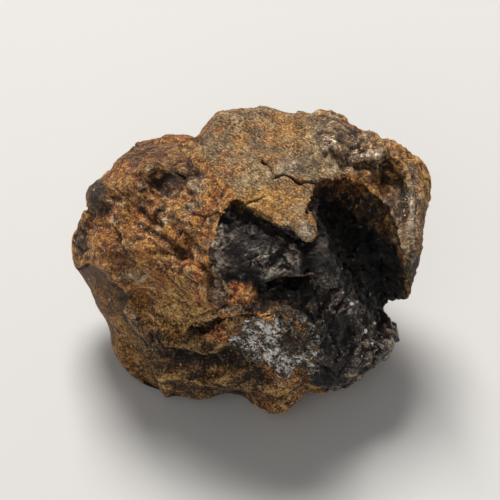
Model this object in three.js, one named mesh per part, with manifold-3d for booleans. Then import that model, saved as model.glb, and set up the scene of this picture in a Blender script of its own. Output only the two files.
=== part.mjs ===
// A weathered iron meteorite fragment, about 27 x 20 x 20 mm: one solid lump of rusted metal.
//
// Its crust is rough and lumpy. On its front and right a slab of the crust has broken away, which left a
// dark fracture face under an overhanging lip, a deep hollow beside a standing block, and a notch that
// runs through its right side. It rests on a small flat spot under its weight.
//
// The stone is modelled as it is held to be looked at: across is to the right, up is up, and out is
// towards the eye. It is then laid down on its flat spot. All sizes are in millimetres.
import * as THREE from "three";
import { ImprovedNoise } from "three/addons/math/ImprovedNoise.js";
import { mergeVertices } from "three/addons/utils/BufferGeometryUtils.js";
import Module from "manifold-3d";

const wasm = await Module();
wasm.setup();

// Driving dimensions
const LOOK_DOWN = 50; // degrees, how steeply the eye looks down at the resting stone
const EYE_DISTANCE = 140; // from the stone's middle; a near point looks larger by this much
const MIDDLE = [0, -0.6]; // the middle of the outline, across and up
const HALF_WIDTH = 12.8; // of the smooth round that the outline wanders about
const HALF_HEIGHT = 10.8;
const LEAN = { across: 0.1, up: 0.2, out: -0.3 }; // the smooth round's depth, and how it changes
const FRONT_BULGE = 9.6; // how far the front swells out from the outline
const BACK_BULGE = 9.4; // how far the back swells away from it
const ROUNDNESS = 2.4; // 2 is a round section and more is a boxier one
const FRONT_RIM_REACH = 6; // how soon the outline's own bumps fade out away from it
const BACK_RIM_REACH = 9;
const EDGE_SOFTNESS = 0.35; // how round the edges between the broad faces are
const FLAT_SPOT_CUT = 0.45; // how much is worn off the lowest point
const FINENESS = 17; // subdivisions along each edge of the stone's starting icosahedron

// The crust's roughness: the size, height and seed of its swellings, lumps and coarse grains.
const ROUGHNESS = [
  { size: 3.6, height: 0.45, seed: 4.1 },
  { size: 1.7, height: 0.3, seed: 9.3 },
  { size: 0.9, height: 0.16, seed: 2.7 },
];
const RIM_ROUGHNESS = 0.35; // the share of it that the outline keeps
const CHIPS = { size: 1.5, height: 0.3, seed: 6.2 }; // of the fracture face
const LUMP_FADE = 3; // how soon lumps reach their full height inside the outline

// The outline as the eye sees it, going round: across, up, and how far out its edge lies.
const OUTLINE = [
  [13.6, 4.7, 0.4], // the right block
  [13.3, 3.4, 0.6],
  [13.2, 2.5, 0.8],
  [12.9, 0.0, 1.0],
  [12.3, -1.5, 1.0],
  [11.9, -3.8, 1.0],
  [10.7, -5.7, -0.3], // the lower right lobe
  [10.7, -6.8, -0.4],
  [10.1, -8.0, -0.6],
  [8.8, -9.1, -1.0],
  [7.6, -9.9, -1.2],
  [6.5, -10.4, -1.4],
  [4.1, -10.6, -0.8],
  [2.8, -11.6, 0.8], // the foremost tip
  [1.8, -12.1, 1.0],
  [0.8, -11.8, 0.8],
  [-0.1, -11.2, -0.6],
  [-1.5, -10.9, -1.4],
  [-4.1, -11.2, -2.4],
  [-6.4, -10.6, -3.2], // the side that leans back to the table
  [-7.9, -10.2, -3.6],
  [-9.2, -8.8, -4.4],
  [-10.0, -7.3, -4.8],
  [-10.3, -5.5, -4.8],
  [-11.1, -4.2, -4.6],
  [-11.8, -2.5, -4.2],
  [-12.5, -1.5, -3.6], // the left lobe
  [-13.4, -0.5, -2.8],
  [-13.4, 0.7, -2.6],
  [-12.9, 1.9, -1.8],
  [-12.4, 2.9, -0.4],
  [-12.3, 4.2, 0.2], // the dark knob
  [-11.5, 5.0, 0.4],
  [-10.4, 5.9, 0.4],
  [-9.3, 7.1, 0.0],
  [-8.4, 7.9, -1.2],
  [-7.0, 8.2, -2.2], // the back lobe
  [-6.1, 8.5, -2.4],
  [-4.8, 8.5, -1.8],
  [-4.0, 8.2, -0.4],
  [-3.3, 9.3, 1.2], // the far edge of the top slab
  [-2.6, 10.2, 2.2],
  [-0.4, 10.4, 2.8],
  [1.0, 10.7, 2.6],
  [2.8, 10.2, 2.8],
  [5.3, 10.4, 2.4],
  [6.5, 10.2, 2.2],
  [7.6, 9.5, 2.0], // the lumps
  [8.2, 8.8, 2.2],
  [10.0, 8.3, 1.8],
  [11.2, 7.8, 1.4],
  [12.1, 7.1, 1.0],
  [13.1, 6.5, 0.6],
  [13.5, 5.6, 0.4],
];

// Broad faces: a point of each (across, up, out) and how its depth changes across and up.
const FRONT_FACES = [
  { name: "top slab", at: [2.0, 3.0, 9.1], slope: [-0.06, -0.72] },
  { name: "left face", at: [-4.0, 1.0, 8.5], slope: [0.58, -0.12] },
  { name: "lower wall", at: [-2.0, -6.0, 6.8], slope: [0.08, 1.4] },
  { name: "left underside", at: [-9.0, -2.6, 3.4], slope: [1.0, 1.2] },
  { name: "right shoulder", at: [9.0, 3.5, 5.4], slope: [-0.75, -0.5] },
  { name: "lower right", at: [8.5, -7.0, 3.4], slope: [-0.55, 0.5] },
];
const BACK_FACES = [
  { name: "back slope", at: [0, 7.0, -5.8], slope: [0.06, 0.72] },
  { name: "left back", at: [-7.5, 0, -7.4], slope: [-0.7, 0.15] },
  { name: "right back", at: [8.5, 1.0, -5.9], slope: [0.8, 0.12] },
  { name: "right under", at: [6.5, -6.0, -6.8], slope: [0.55, -0.75] },
  { name: "rear underside", at: [0, -6.6, -8.8], slope: [-0.1, -0.52] },
  { name: "front underside", at: [0, -6.6, -8.8], slope: [-0.07, -1.08] },
];

// Lumps and dents, seen from the front: where (across, up), how wide, how high.
const FRONT_LUMPS = [
  { name: "lump by the slab", at: [6.2, 8.1], radius: 1.5, height: 0.9 },
  { name: "lump at the back", at: [8.0, 8.4], radius: 0.9, height: 0.6 },
  { name: "shiny lump", at: [9.2, 7.0], radius: 1.5, height: 0.8 },
  { name: "dent in the shoulder", at: [10.3, 5.4], radius: 1.0, height: -1.4 },
  { name: "pit", at: [-6.4, 5.0], radius: 0.8, height: -1.5 },
  { name: "swelling beside the pit", at: [-8.0, 5.8], radius: 1.5, height: 0.9 },
  { name: "dark knob", at: [-11.5, 4.1], radius: 0.9, height: 1.0 },
  { name: "foremost tip", at: [2.0, -11.0], radius: 1.5, height: 1.3 },
  { name: "cheek", at: [-7.6, 0.4], radius: 2.2, height: 0.7 },
  { name: "dent below the cheek", at: [-5.3, -0.4], radius: 1.1, height: -0.6 },
  { name: "brow", at: [-3.6, 2.4], radius: 1.6, height: 0.4 },
  { name: "crystal bulge", at: [2.4, -6.8], radius: 2.4, height: 1.2 },
  { name: "wall hollow", at: [-2.2, -8.6], radius: 1.5, height: -1.5 },
  { name: "wall shelf", at: [-4.6, -8.0], radius: 1.4, height: 0.8 },
  { name: "wall lump", at: [-0.8, -9.6], radius: 0.9, height: 0.8 },
  { name: "wall foot", at: [-5.4, -10.0], radius: 1.3, height: 0.7 },
  { name: "lobe's bulge", at: [8.2, -6.6], radius: 1.6, height: 0.7 },
  { name: "lobe's dent", at: [5.6, -8.6], radius: 1.2, height: -0.9 },
];
const BACK_LUMPS = [
  { name: "thumbprint", at: [3.5, 2.5], radius: 2.6, height: 1.5 },
  { name: "second thumbprint", at: [-3.2, 4.0], radius: 2.2, height: 1.3 },
  { name: "third thumbprint", at: [-8.0, -4.0], radius: 1.9, height: 1.1 },
  { name: "fourth thumbprint", at: [9.0, -2.0], radius: 1.7, height: 0.9 },
  { name: "hump", at: [-0.4, 0.4], radius: 1.9, height: -0.9 },
  { name: "second hump", at: [7.0, 5.6], radius: 1.8, height: -0.9 },
  { name: "back lobe", at: [-6.2, 6.4], radius: 2.3, height: -1.5 },
  { name: "left lobe", at: [-11.4, -0.2], radius: 2.2, height: -1.5 },
];

// Long features: the line they follow (across, up), half their width and their height.
const FRONT_RIDGES = [
  {
    name: "crest of the right block",
    along: [[9.9, 7.4], [12.0, 5.8], [12.6, 3.3], [12.4, 1.0], [11.7, -3.6]],
    radius: 0.9,
    height: 1.4,
  },
  {
    name: "left edge",
    along: [[-11.3, 0.4], [-10.6, -1.5], [-9.7, -3.6], [-8.6, -5.4], [-7.2, -6.6], [-6.6, -9.4]],
    radius: 0.9,
    height: 1.1,
  },
  { name: "step off the slab", along: [[-5.3, 6.1], [-4.7, 4.9], [-4.4, 3.9]], radius: 0.6, height: -0.5 },
  {
    name: "furrow before the back lobe",
    along: [[-8.9, 7.5], [-8.0, 7.8], [-7.0, 7.3], [-6.2, 6.8], [-5.1, 7.3], [-4.4, 8.2]],
    radius: 0.6,
    height: -1.6,
  },
  {
    name: "furrow before the left lobe",
    along: [[-12.2, 2.8], [-12.5, 1.4], [-12.6, 0.0], [-12.2, -1.6], [-11.2, -2.2]],
    radius: 0.6,
    height: -1.6,
  },
  { name: "groove in the left face", along: [[-8.9, 2.2], [-6.6, 1.0], [-4.4, 0.6]], radius: 0.7, height: -0.5 },
];

// The crust broke away inside this line (across, up). Its upper side is the overhanging lip.
const BROKEN_EDGE = [
  [-1.2, 3.7],
  [-0.4, 3.1],
  [0.4, 2.8],
  [1.2, 2.3],
  [2.1, 2.0],
  [2.9, 1.8],
  [3.6, 1.1], // the tongue
  [4.2, 0.7],
  [4.9, 1.1],
  [5.0, 1.9],
  [4.4, 2.8],
  [4.9, 4.0],
  [5.2, 5.0],
  [6.6, 5.0],
  [8.0, 4.9],
  [9.4, 3.9],
  [10.6, 2.4],
  [11.2, 0.4],
  [11.3, -1.8],
  [12.6, -3.9],
  [13.4, -7.5], // outside the outline
  [10.5, -11.0],
  [7.6, -10.6],
  [6.0, -8.6],
  [5.0, -5.6],
  [2.6, -4.4],
  [-0.2, -4.9],
  [-2.6, -4.0],
  [-3.3, -2.2],
  [-2.7, 0.4],
  [-2.3, 2.2],
];
const UNDERCUT = 0.4; // how far the broken edge leans in under the lip, for each unit of depth
const FRACTURE_DEPTH = 0.4; // least depth of the fracture face below the crust
const FRACTURE_GRAIN = 0.62; // the fracture face's mesh

// What is broken out below that least depth. A height above 0 stands up again.
const FRACTURE_FORMS = [
  { name: "left margin", along: [[-2.3, 1.2], [-3.2, -2.2], [-1.6, -4.3]], radius: 0.9, height: 0.25 },
  { name: "under the lip", along: [[-0.6, 2.6], [2.4, 1.0]], radius: 1.0, height: -0.9 },
  { name: "under the tongue", along: [[4.2, 1.2], [5.4, 3.6]], radius: 1.1, height: -1.2 },
  { name: "crest beside the hollow", along: [[5.2, -0.2], [6.4, -3.4], [8.2, -4.6]], radius: 0.8, height: 0.7 },
  {
    name: "hollow",
    along: [[6.8, 3.4], [7.6, 1.6], [8.6, -0.6], [9.3, -2.6], [10.6, -4.2]],
    radius: 2.0,
    height: -6.2,
  },
  { name: "step under the bench", along: [[0.6, -3.2], [4.6, -3.6]], radius: 0.9, height: -0.9 },
  { name: "fall to the lobe", along: [[6.2, -5.0], [7.4, -8.6]], radius: 1.2, height: -0.9 },
];

// The notch through the right side, between the block's foot and the lobe (across, up).
const NOTCH = [
  [9.65, -4.05],
  [11.0, -3.78],
  [15.5, -3.75],
  [15.5, -7.0],
  [10.9, -5.75],
  [10.2, -4.95],
];
const NOTCH_STEPS = 14;
const NOTCH_WANDER = { size: 2.6, height: 0.3, seed: 3.3 };

// Clefts: their mouth (across, up), how deep they go, and how far they rise as they go in.
const CLEFTS = [
  {
    name: "cleft under the broken crust",
    mouth: [[-4.9, -6.4], [-4.0, -5.7], [-1.7, -5.0], [0.4, -4.8], [-1.6, -5.6], [-3.9, -6.4], [-4.7, -6.8]],
    depth: 1.8,
    rise: 0.5,
  },
  {
    name: "gap under the bench",
    mouth: [[0.7, -2.9], [1.6, -2.4], [3.0, -2.1], [4.3, -2.5], [4.5, -3.0], [2.6, -3.0], [1.2, -3.2]],
    depth: 2.4,
    rise: 0.8,
  },
];
const FAR_OUT = 16; // clear of the front and the back of the stone

const SHARE_ROUNDS = 8; // of closing in on the share of the way to the outline that a point has

const noise = new ImprovedNoise();

// Smooth noise at a point, with lumps of the given size and height.
function lumpiness(point, { size, height, seed }) {
  return height * noise.noise(point.x / size + seed, point.y / size - seed, point.z / size + 2 * seed);
}

function roughness(point) {
  return ROUGHNESS.reduce((sum, lumps) => sum + lumpiness(point, lumps), 0);
}

// The depth of the smooth round that the outline wanders about.
function leanOut(across, up) {
  return LEAN.out + LEAN.across * across + LEAN.up * up;
}

// The outline's corners from its middle, each with how far out it lies from the smooth round.
const outlineCorners = OUTLINE.map(([across, up, out]) => ({
  x: across - MIDDLE[0],
  y: up - MIDDLE[1],
  out: out - leanOut(across, up),
}));

// The outline's radius at an angle round the middle, and how far out it lies there.
function outlineAt(angle) {
  const ray = { x: Math.cos(angle), y: Math.sin(angle) };
  const cross = (a, b) => a.x * b.y - a.y * b.x;
  for (let i = 0; i < outlineCorners.length; i++) {
    const a = outlineCorners[i];
    const b = outlineCorners[(i + 1) % outlineCorners.length];
    const share = cross(a, ray) / (cross(a, ray) - cross(b, ray));
    if (share < 0 || share > 1) continue;
    const hit = { x: a.x + share * (b.x - a.x), y: a.y + share * (b.y - a.y) };
    const radius = hit.x * ray.x + hit.y * ray.y;
    if (radius > 0) return { radius, out: a.out + share * (b.out - a.out) };
  }
  throw new Error("the outline has a gap");
}

const rimReach = (swell) => (swell < 0 ? BACK_RIM_REACH : FRONT_RIM_REACH);

// How far the stone reaches from its middle: the smooth round's radius inside, and the outline's at the rim.
function reachAt(angle, rim, share, swell) {
  const round = 1 / Math.hypot(Math.cos(angle) / HALF_WIDTH, Math.sin(angle) / HALF_HEIGHT);
  return THREE.MathUtils.lerp(round, rim.radius, share ** rimReach(swell));
}

// Distance in the plane of the picture from a point to a line of points.
function distanceTo(line, across, up) {
  let nearest = Infinity;
  for (let i = 0; i + 1 < line.length; i++) {
    const [ax, ay] = line[i];
    const [bx, by] = line[i + 1];
    const along = ((across - ax) * (bx - ax) + (up - ay) * (by - ay)) / ((bx - ax) ** 2 + (by - ay) ** 2);
    const t = THREE.MathUtils.clamp(along, 0, 1);
    nearest = Math.min(nearest, Math.hypot(across - ax - t * (bx - ax), up - ay - t * (by - ay)));
  }
  return nearest;
}

const bell = (distance, radius) => Math.exp(-((distance / radius) ** 2));

// The summed height of lumps and ridges at a point of the picture.
function reliefOf(lumps, ridges, across, up) {
  let height = 0;
  for (const lump of lumps) {
    height += lump.height * bell(Math.hypot(across - lump.at[0], up - lump.at[1]), lump.radius);
  }
  for (const ridge of ridges) height += ridge.height * bell(distanceTo(ridge.along, across, up), ridge.radius);
  return height;
}

// The least of several heights, with the edges between them rounded.
function softLeast(heights) {
  const least = Math.min(...heights);
  const sum = heights.reduce((total, h) => total + Math.exp((least - h) / EDGE_SOFTNESS), 0);
  return least - EDGE_SOFTNESS * Math.log(sum);
}

function faceOut(face, across, up) {
  return face.at[2] + face.slope[0] * (across - face.at[0]) + face.slope[1] * (up - face.at[1]);
}

// Where the surface lies: the outline's edge, swelled to the front or the back, then cut by the broad faces.
function surfaceOut(across, up, rim, share, swell) {
  const edge = leanOut(across, up) + rim.out * share ** rimReach(swell);
  const fade = Math.min(1, LUMP_FADE * Math.abs(swell));
  if (swell >= 0) {
    const heights = FRONT_FACES.map((face) => faceOut(face, across, up));
    const front = softLeast([edge + FRONT_BULGE * swell, ...heights]);
    return front + fade * reliefOf(FRONT_LUMPS, FRONT_RIDGES, across, up);
  }
  const depths = BACK_FACES.map((face) => -faceOut(face, across, up));
  const back = -softLeast([-edge - BACK_BULGE * swell, ...depths]);
  return back + fade * reliefOf(BACK_LUMPS, [], across, up);
}

// The front of the unbroken crust at a point of the picture, without its fine roughness.
function crustOut(across, up) {
  const x = across - MIDDLE[0];
  const y = up - MIDDLE[1];
  const angle = Math.atan2(y, x);
  const rim = outlineAt(angle);
  const distance = Math.hypot(x, y);
  let share = Math.min(distance / rim.radius, 1);
  for (let round = 0; round < SHARE_ROUNDS; round++) {
    share = Math.min(distance / reachAt(angle, rim, share, 1), 1);
  }
  const swell = (1 - share ** ROUNDNESS) ** (1 / ROUNDNESS);
  return surfaceOut(across, up, rim, share, swell);
}

// A near point looks further from the middle, so what is seen at (across, up) lies closer in.
function seenAt(across, up, out) {
  const shrink = 1 - out / EYE_DISTANCE;
  return new THREE.Vector3(across * shrink, up * shrink, out);
}

// Moves every vertex of a closed geometry and merges them, ready to be a solid.
function reshape(geometry, move) {
  const plain = geometry.clone();
  for (const name of Object.keys(plain.attributes)) {
    if (name !== "position") plain.deleteAttribute(name);
  }
  const welded = mergeVertices(plain, 1e-4);
  const position = welded.getAttribute("position");
  const point = new THREE.Vector3();
  for (let i = 0; i < position.count; i++) {
    move(point.fromBufferAttribute(position, i));
    position.setXYZ(i, point.x, point.y, point.z);
  }
  return welded;
}

function solidOf(geometry) {
  const mesh = new wasm.Mesh({
    numProp: 3,
    vertProperties: new Float32Array(geometry.getAttribute("position").array),
    triVerts: new Uint32Array(geometry.getIndex().array),
  });
  return new wasm.Manifold(mesh);
}

function geometryOf(solid) {
  const mesh = solid.getMesh();
  const geometry = new THREE.BufferGeometry();
  geometry.setAttribute("position", new THREE.BufferAttribute(new Float32Array(mesh.vertProperties), 3));
  geometry.setIndex(new THREE.BufferAttribute(new Uint32Array(mesh.triVerts), 1));
  return geometry;
}

// The main lump before the crust broke.
function mainLump() {
  const lump = reshape(new THREE.IcosahedronGeometry(1, FINENESS), (point) => {
    const flat = Math.hypot(point.x, point.y);
    const scale = (flat ** ROUNDNESS + Math.abs(point.z) ** ROUNDNESS) ** (-1 / ROUNDNESS);
    const reached = flat * scale;
    const swell = point.z * scale;
    const angle = Math.atan2(point.y, point.x);
    const rim = outlineAt(angle);
    const radius = reached * reachAt(angle, rim, reached, swell);
    const across = MIDDLE[0] + radius * Math.cos(angle);
    const up = MIDDLE[1] + radius * Math.sin(angle);
    point.copy(seenAt(across, up, surfaceOut(across, up, rim, reached, swell)));
    const outwards = point.clone().sub(new THREE.Vector3(MIDDLE[0], MIDDLE[1], 0)).normalize();
    const share = THREE.MathUtils.lerp(RIM_ROUGHNESS, 1, Math.abs(swell));
    point.addScaledVector(outwards, share * roughness(point));
  });
  return solidOf(lump);
}

// A prism over an outline of points, cut across into levels. z is 0 on its floor and 1 on its top.
function prism(points, steps) {
  const shape = new THREE.Shape(points.map(([across, up]) => new THREE.Vector2(across, up)));
  return new THREE.ExtrudeGeometry(shape, { depth: 1, bevelEnabled: false, steps });
}

// A cut that runs straight in from the eye as far as the crust, and then rises as it goes deeper.
function risingCut(mouth, crustAt, depth, rise) {
  const cut = reshape(prism(mouth, 2), (point) => {
    const { x: across, y: up } = point;
    const crust = crustAt(across, up);
    const levels = [[rise, crust - depth], [0, crust], [0, FAR_OUT]];
    const [lift, out] = levels[Math.round(2 * point.z)];
    point.copy(seenAt(across, up + lift, out));
  });
  return solidOf(cut);
}

// The fracture face, before its fine grain.
function fractureOut(across, up) {
  const chips = lumpiness({ x: across, y: up, z: 0 }, CHIPS);
  return crustOut(across, up) - FRACTURE_DEPTH + reliefOf([], FRACTURE_FORMS, across, up) + chips;
}

// What broke away: everything in front of the fracture face, inside the broken edge.
function brokenSlab() {
  const reach = UNDERCUT * FAR_OUT;
  const corners = BROKEN_EDGE.map(([across, up]) => new THREE.Vector2(across, up));
  const inside = new THREE.Box2().setFromPoints(corners);
  inside.expandByScalar(reach);
  const size = inside.getSize(new THREE.Vector2());
  const middle = inside.getCenter(new THREE.Vector2());
  const [columns, rows] = [size.x, size.y].map((length) => Math.round(length / FRACTURE_GRAIN));
  const sheet = new THREE.BoxGeometry(size.x, size.y, 1, columns, rows, 1);
  sheet.translate(middle.x, middle.y, 0);
  const front = reshape(sheet, (point) => {
    const { x: across, y: up, z: side } = point;
    point.copy(seenAt(across, up, side > 0 ? FAR_OUT : fractureOut(across, up)));
  });
  return solidOf(front).intersect(risingCut(BROKEN_EDGE, crustOut, FAR_OUT, reach));
}

// A narrow cleft in the fracture face.
function cleft({ mouth, depth, rise }) {
  return risingCut(mouth, (across, up) => crustOut(across, up) - FRACTURE_DEPTH, depth, rise);
}

// The notch runs right through along the line of sight.
function notch() {
  const cut = reshape(prism(NOTCH, NOTCH_STEPS), (point) => {
    point.copy(seenAt(point.x, point.y, THREE.MathUtils.lerp(-FAR_OUT, FAR_OUT, point.z)));
    const wander = lumpiness(point, NOTCH_WANDER);
    point.x += wander;
    point.y += wander;
  });
  return solidOf(cut);
}

// Turns the stone from how it is looked at to how it lies, and rests it on its flat spot.
function laidDown(solid) {
  const turned = solid.rotate([90 - LOOK_DOWN, 0, 0]);
  const floorDepth = 20;
  const floor = new THREE.BoxGeometry(4 * HALF_WIDTH, 4 * HALF_WIDTH, floorDepth);
  floor.translate(0, 0, turned.boundingBox().min[2] + FLAT_SPOT_CUT - floorDepth / 2);
  const rested = turned.subtract(solidOf(reshape(floor, () => {})));
  const box = rested.boundingBox();
  const middle = [0, 1].map((i) => (box.min[i] + box.max[i]) / 2);
  return rested.translate([-middle[0], -middle[1], -box.min[2]]);
}

// Cutting can leave specks of no size beside the stone, so only the largest body is kept.
function largestBody(solid) {
  const bodies = solid.decompose();
  return bodies.reduce((largest, body) => (body.volume() > largest.volume() ? body : largest));
}

const cuts = [brokenSlab(), notch(), ...CLEFTS.map(cleft)];
const stone = cuts.reduce((left, cut) => left.subtract(cut), mainLump());

const rust = new THREE.MeshStandardMaterial({ color: 0x6b4a2a, roughness: 0.75, metalness: 0.2 });
const meteorite = new THREE.Mesh(geometryOf(laidDown(largestBody(stone))), rust);
meteorite.name = "meteorite";

const group = new THREE.Group();
group.add(meteorite);
export default group;
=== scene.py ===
import math
import bpy
import numpy as np
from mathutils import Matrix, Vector, noise
from mathutils.bvhtree import BVHTree


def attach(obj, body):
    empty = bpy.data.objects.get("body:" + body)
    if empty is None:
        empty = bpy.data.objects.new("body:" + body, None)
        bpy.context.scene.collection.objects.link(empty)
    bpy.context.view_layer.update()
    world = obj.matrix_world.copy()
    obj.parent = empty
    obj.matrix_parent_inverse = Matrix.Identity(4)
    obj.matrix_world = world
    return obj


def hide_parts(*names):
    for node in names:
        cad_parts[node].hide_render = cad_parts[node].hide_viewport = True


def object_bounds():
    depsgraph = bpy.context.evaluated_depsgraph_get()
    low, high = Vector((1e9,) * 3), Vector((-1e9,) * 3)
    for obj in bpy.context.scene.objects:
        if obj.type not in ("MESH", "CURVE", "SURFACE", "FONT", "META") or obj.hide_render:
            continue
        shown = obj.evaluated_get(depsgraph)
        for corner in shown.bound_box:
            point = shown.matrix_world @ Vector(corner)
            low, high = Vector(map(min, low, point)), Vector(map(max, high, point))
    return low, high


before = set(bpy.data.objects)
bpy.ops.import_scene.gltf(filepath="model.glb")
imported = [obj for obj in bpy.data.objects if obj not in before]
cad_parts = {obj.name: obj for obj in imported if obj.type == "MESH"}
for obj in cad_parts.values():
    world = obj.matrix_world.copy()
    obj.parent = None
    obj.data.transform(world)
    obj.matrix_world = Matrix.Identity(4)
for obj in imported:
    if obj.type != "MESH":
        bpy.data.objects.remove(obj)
cad_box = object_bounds()

# The view
# A camera held 140 mm from the stone, looking down at it at 50 degrees with a long lens. Its frame is
# 500 pixels wide, and the stone's middle is shown at 13.3 pixels to the millimetre.
LOOK_DOWN = math.radians(50)
EYE_DISTANCE = 0.140
LOOKED_AT = Vector((0.00003, -0.00038, 0.01079))
RIGHT = Vector((1, 0, 0))
UP = Vector((0, math.sin(LOOK_DOWN), math.cos(LOOK_DOWN)))
TO_EYE = Vector((0, -math.cos(LOOK_DOWN), math.sin(LOOK_DOWN)))
EYE = LOOKED_AT + EYE_DISTANCE * TO_EYE
FRAME_WIDTH = 500 / 13300

bpy.ops.object.camera_add(location=EYE, rotation=(math.pi / 2 - LOOK_DOWN, 0, 0))
camera = bpy.context.object
camera.data.sensor_width = 36
camera.data.lens = 36 * EYE_DISTANCE / FRAME_WIDTH
camera.data.clip_start = 0.01
bpy.context.scene.camera = camera
bpy.context.scene.view_settings.view_transform = "Standard"

# The floor and the light
# A plain pale table, a wide soft lamp above and behind the stone on the left, and a weak one in front.
FLOOR_SIZE = 2.0
FLOOR_COLOUR = (0.52, 0.52, 0.52, 1)
SKY_COLOUR = (1.0, 0.98, 0.95, 1)
SKY_STRENGTH = 0.20

bpy.ops.mesh.primitive_plane_add(size=FLOOR_SIZE)
floor = bpy.context.object
floor.name = "floor"
paint = bpy.data.materials.new("pale_table")
paint.use_nodes = True
paint.node_tree.nodes["Principled BSDF"].inputs["Base Color"].default_value = FLOOR_COLOUR
paint.node_tree.nodes["Principled BSDF"].inputs["Roughness"].default_value = 0.9
floor.data.materials.append(paint)


def lamp(name, towards, distance, size, power, colour):
    """A square soft lamp that shines at the stone from a direction."""
    place = LOOKED_AT + distance * Vector(towards).normalized()
    turn = (LOOKED_AT - place).to_track_quat("-Z", "Y").to_euler()
    bpy.ops.object.light_add(type="AREA", location=place, rotation=turn)
    light = bpy.context.object
    light.name = name
    light.data.size = size
    light.data.energy = power
    light.data.color = colour


lamp("window", (-0.12, 0.55, 0.95), 0.60, 0.24, 5.3, (1.0, 0.97, 0.92))
lamp("room", (-0.3, -0.9, 0.9), 0.80, 0.60, 1.5, (1.0, 0.98, 0.95))
world = bpy.data.worlds.new("room")
bpy.context.scene.world = world
world.use_nodes = True
world.node_tree.nodes["Background"].inputs["Color"].default_value = SKY_COLOUR
world.node_tree.nodes["Background"].inputs["Strength"].default_value = SKY_STRENGTH

# The stone's body
# One lump of iron that has mostly turned to rust, worn round on the back and broken on the front. It is
# the solid's own form, rounded between its facets and laid out again as an even, fine mesh.
COARSE_GRAIN = 0.00027
SHARP_EDGE = math.radians(42)
EDGE_CREASE = 0.8

bpy.ops.object.select_all(action="DESELECT")
stone = bpy.data.objects.new("stone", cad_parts["meteorite"].data.copy())
bpy.context.collection.objects.link(stone)
bpy.context.view_layer.objects.active = stone
stone.select_set(True)
stone.data.materials.clear()
bpy.ops.object.mode_set(mode="EDIT")
bpy.ops.mesh.select_all(action="SELECT")
bpy.ops.mesh.remove_doubles(threshold=1e-6)
bpy.ops.mesh.select_all(action="DESELECT")
bpy.ops.mesh.select_mode(type="EDGE")
bpy.ops.mesh.edges_select_sharp(sharpness=SHARP_EDGE)
bpy.ops.transform.edge_crease(value=EDGE_CREASE)
bpy.ops.object.mode_set(mode="OBJECT")


def finish_with(kind, **settings):
    """Adds a modifier to the stone and applies it."""
    modifier = stone.modifiers.new(kind.lower(), kind)
    for name, value in settings.items():
        setattr(modifier, name, value)
    bpy.ops.object.modifier_apply(modifier=modifier.name)


finish_with("SUBSURF", levels=2, render_levels=2)
finish_with("REMESH", mode="VOXEL", voxel_size=COARSE_GRAIN, adaptivity=0)
finish_with("SMOOTH", factor=0.5, iterations=2)


class Surface:
    """The stone's vertices: places in metres, normals, and where the eye sees them, in millimetres."""

    def __init__(self):
        mesh = stone.data
        count = len(mesh.vertices)
        self.places = np.empty(count * 3)
        self.normals = np.empty(count * 3)
        mesh.vertices.foreach_get("co", self.places)
        mesh.vertices.foreach_get("normal", self.normals)
        self.places = self.places.reshape(-1, 3)
        self.normals = self.normals.reshape(-1, 3)
        seen = (self.places - np.array(LOOKED_AT)) * 1000
        self.out = seen @ np.array(TO_EYE)
        nearer = 1 / (1 - self.out / (1000 * EYE_DISTANCE))
        self.across = seen @ np.array(RIGHT) * nearer
        self.up = seen @ np.array(UP) * nearer
        self.facing = self.normals @ np.array(TO_EYE)


def distance_to(line, at):
    """How far each vertex is seen from a line of points (across, up)."""
    nearest = np.full(len(at.across), np.inf)
    for (ax, ay), (bx, by) in zip(line[:-1], line[1:]):
        length = (bx - ax) ** 2 + (by - ay) ** 2
        t = np.clip(((at.across - ax) * (bx - ax) + (at.up - ay) * (by - ay)) / length, 0, 1)
        nearest = np.minimum(nearest, np.hypot(at.across - ax - t * (bx - ax), at.up - ay - t * (by - ay)))
    return nearest


# The lip, the cracks, the cleft and the left face's edge as the eye sees them. Their points are across and
# up, in millimetres.
LIP = [
    (-2.3, 2.2), (-1.65, 3.1), (-1.2, 3.75), (-0.55, 3.45), (-0.45, 3.1), (0.3, 2.85), (1.2, 2.3),
    (2.1, 2.05), (2.85, 1.8), (3.25, 1.45), (3.7, 1.15), (4.15, 0.75), (4.65, 0.9), (5.05, 1.3),
    (4.95, 2.05), (4.5, 2.6), (4.15, 2.85), (4.3, 3.3), (4.75, 3.85), (5.05, 4.35), (4.95, 4.9), (5.8, 5.0),
    (6.9, 5.3), (8.2, 5.05),
]
SLAB_CRACK = [
    (0.9, 6.7), (1.4, 6.3), (1.65, 5.8), (1.65, 5.35), (2.55, 5.65), (3.15, 5.35), (3.7, 4.95), (4.45, 5.05),
    (5.0, 5.0),
]
LIP_CRACK = [(-0.5, 3.25), (-0.1, 3.55), (0.45, 3.65), (1.1, 4.0)]
CORNER_CRACK = [(-4.1, 8.1), (-3.2, 7.65), (-2.1, 7.05), (-1.1, 6.8)]
CLEFT = [(-4.9, -6.3), (-3.6, -5.9), (-2.7, -5.5), (-1.75, -5.1), (-0.8, -4.95), (0.3, -4.8)]
FACE_CRACK = [(4.9, -3.4), (5.6, -4.7), (6.1, -6.0), (6.7, -7.8)]
BLOCK_FOOT = [(9.7, -3.9), (11.0, -3.8), (11.9, -3.9)]
FACE_EDGE = [
    (-11.9, -0.9), (-10.7, -1.65), (-10.15, -2.5), (-9.6, -3.45), (-9.25, -3.6), (-9.45, -4.5), (-9.0, -5.4),
    (-8.3, -6.4), (-7.8, -7.9), (-7.1, -9.4), (-6.55, -10.7),
]


def seen_by_eye(at):
    """True where nothing of the stone stands between a vertex and the eye."""
    tree = BVHTree.FromObject(stone, bpy.context.evaluated_depsgraph_get())
    seen = np.zeros(len(at.places), bool)
    for i in np.nonzero(at.facing > -0.1)[0]:
        place = Vector(at.places[i])
        towards = (EYE - place).normalized()
        seen[i] = tree.ray_cast(place + towards * 0.0003, towards)[0] is None
    return seen


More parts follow.
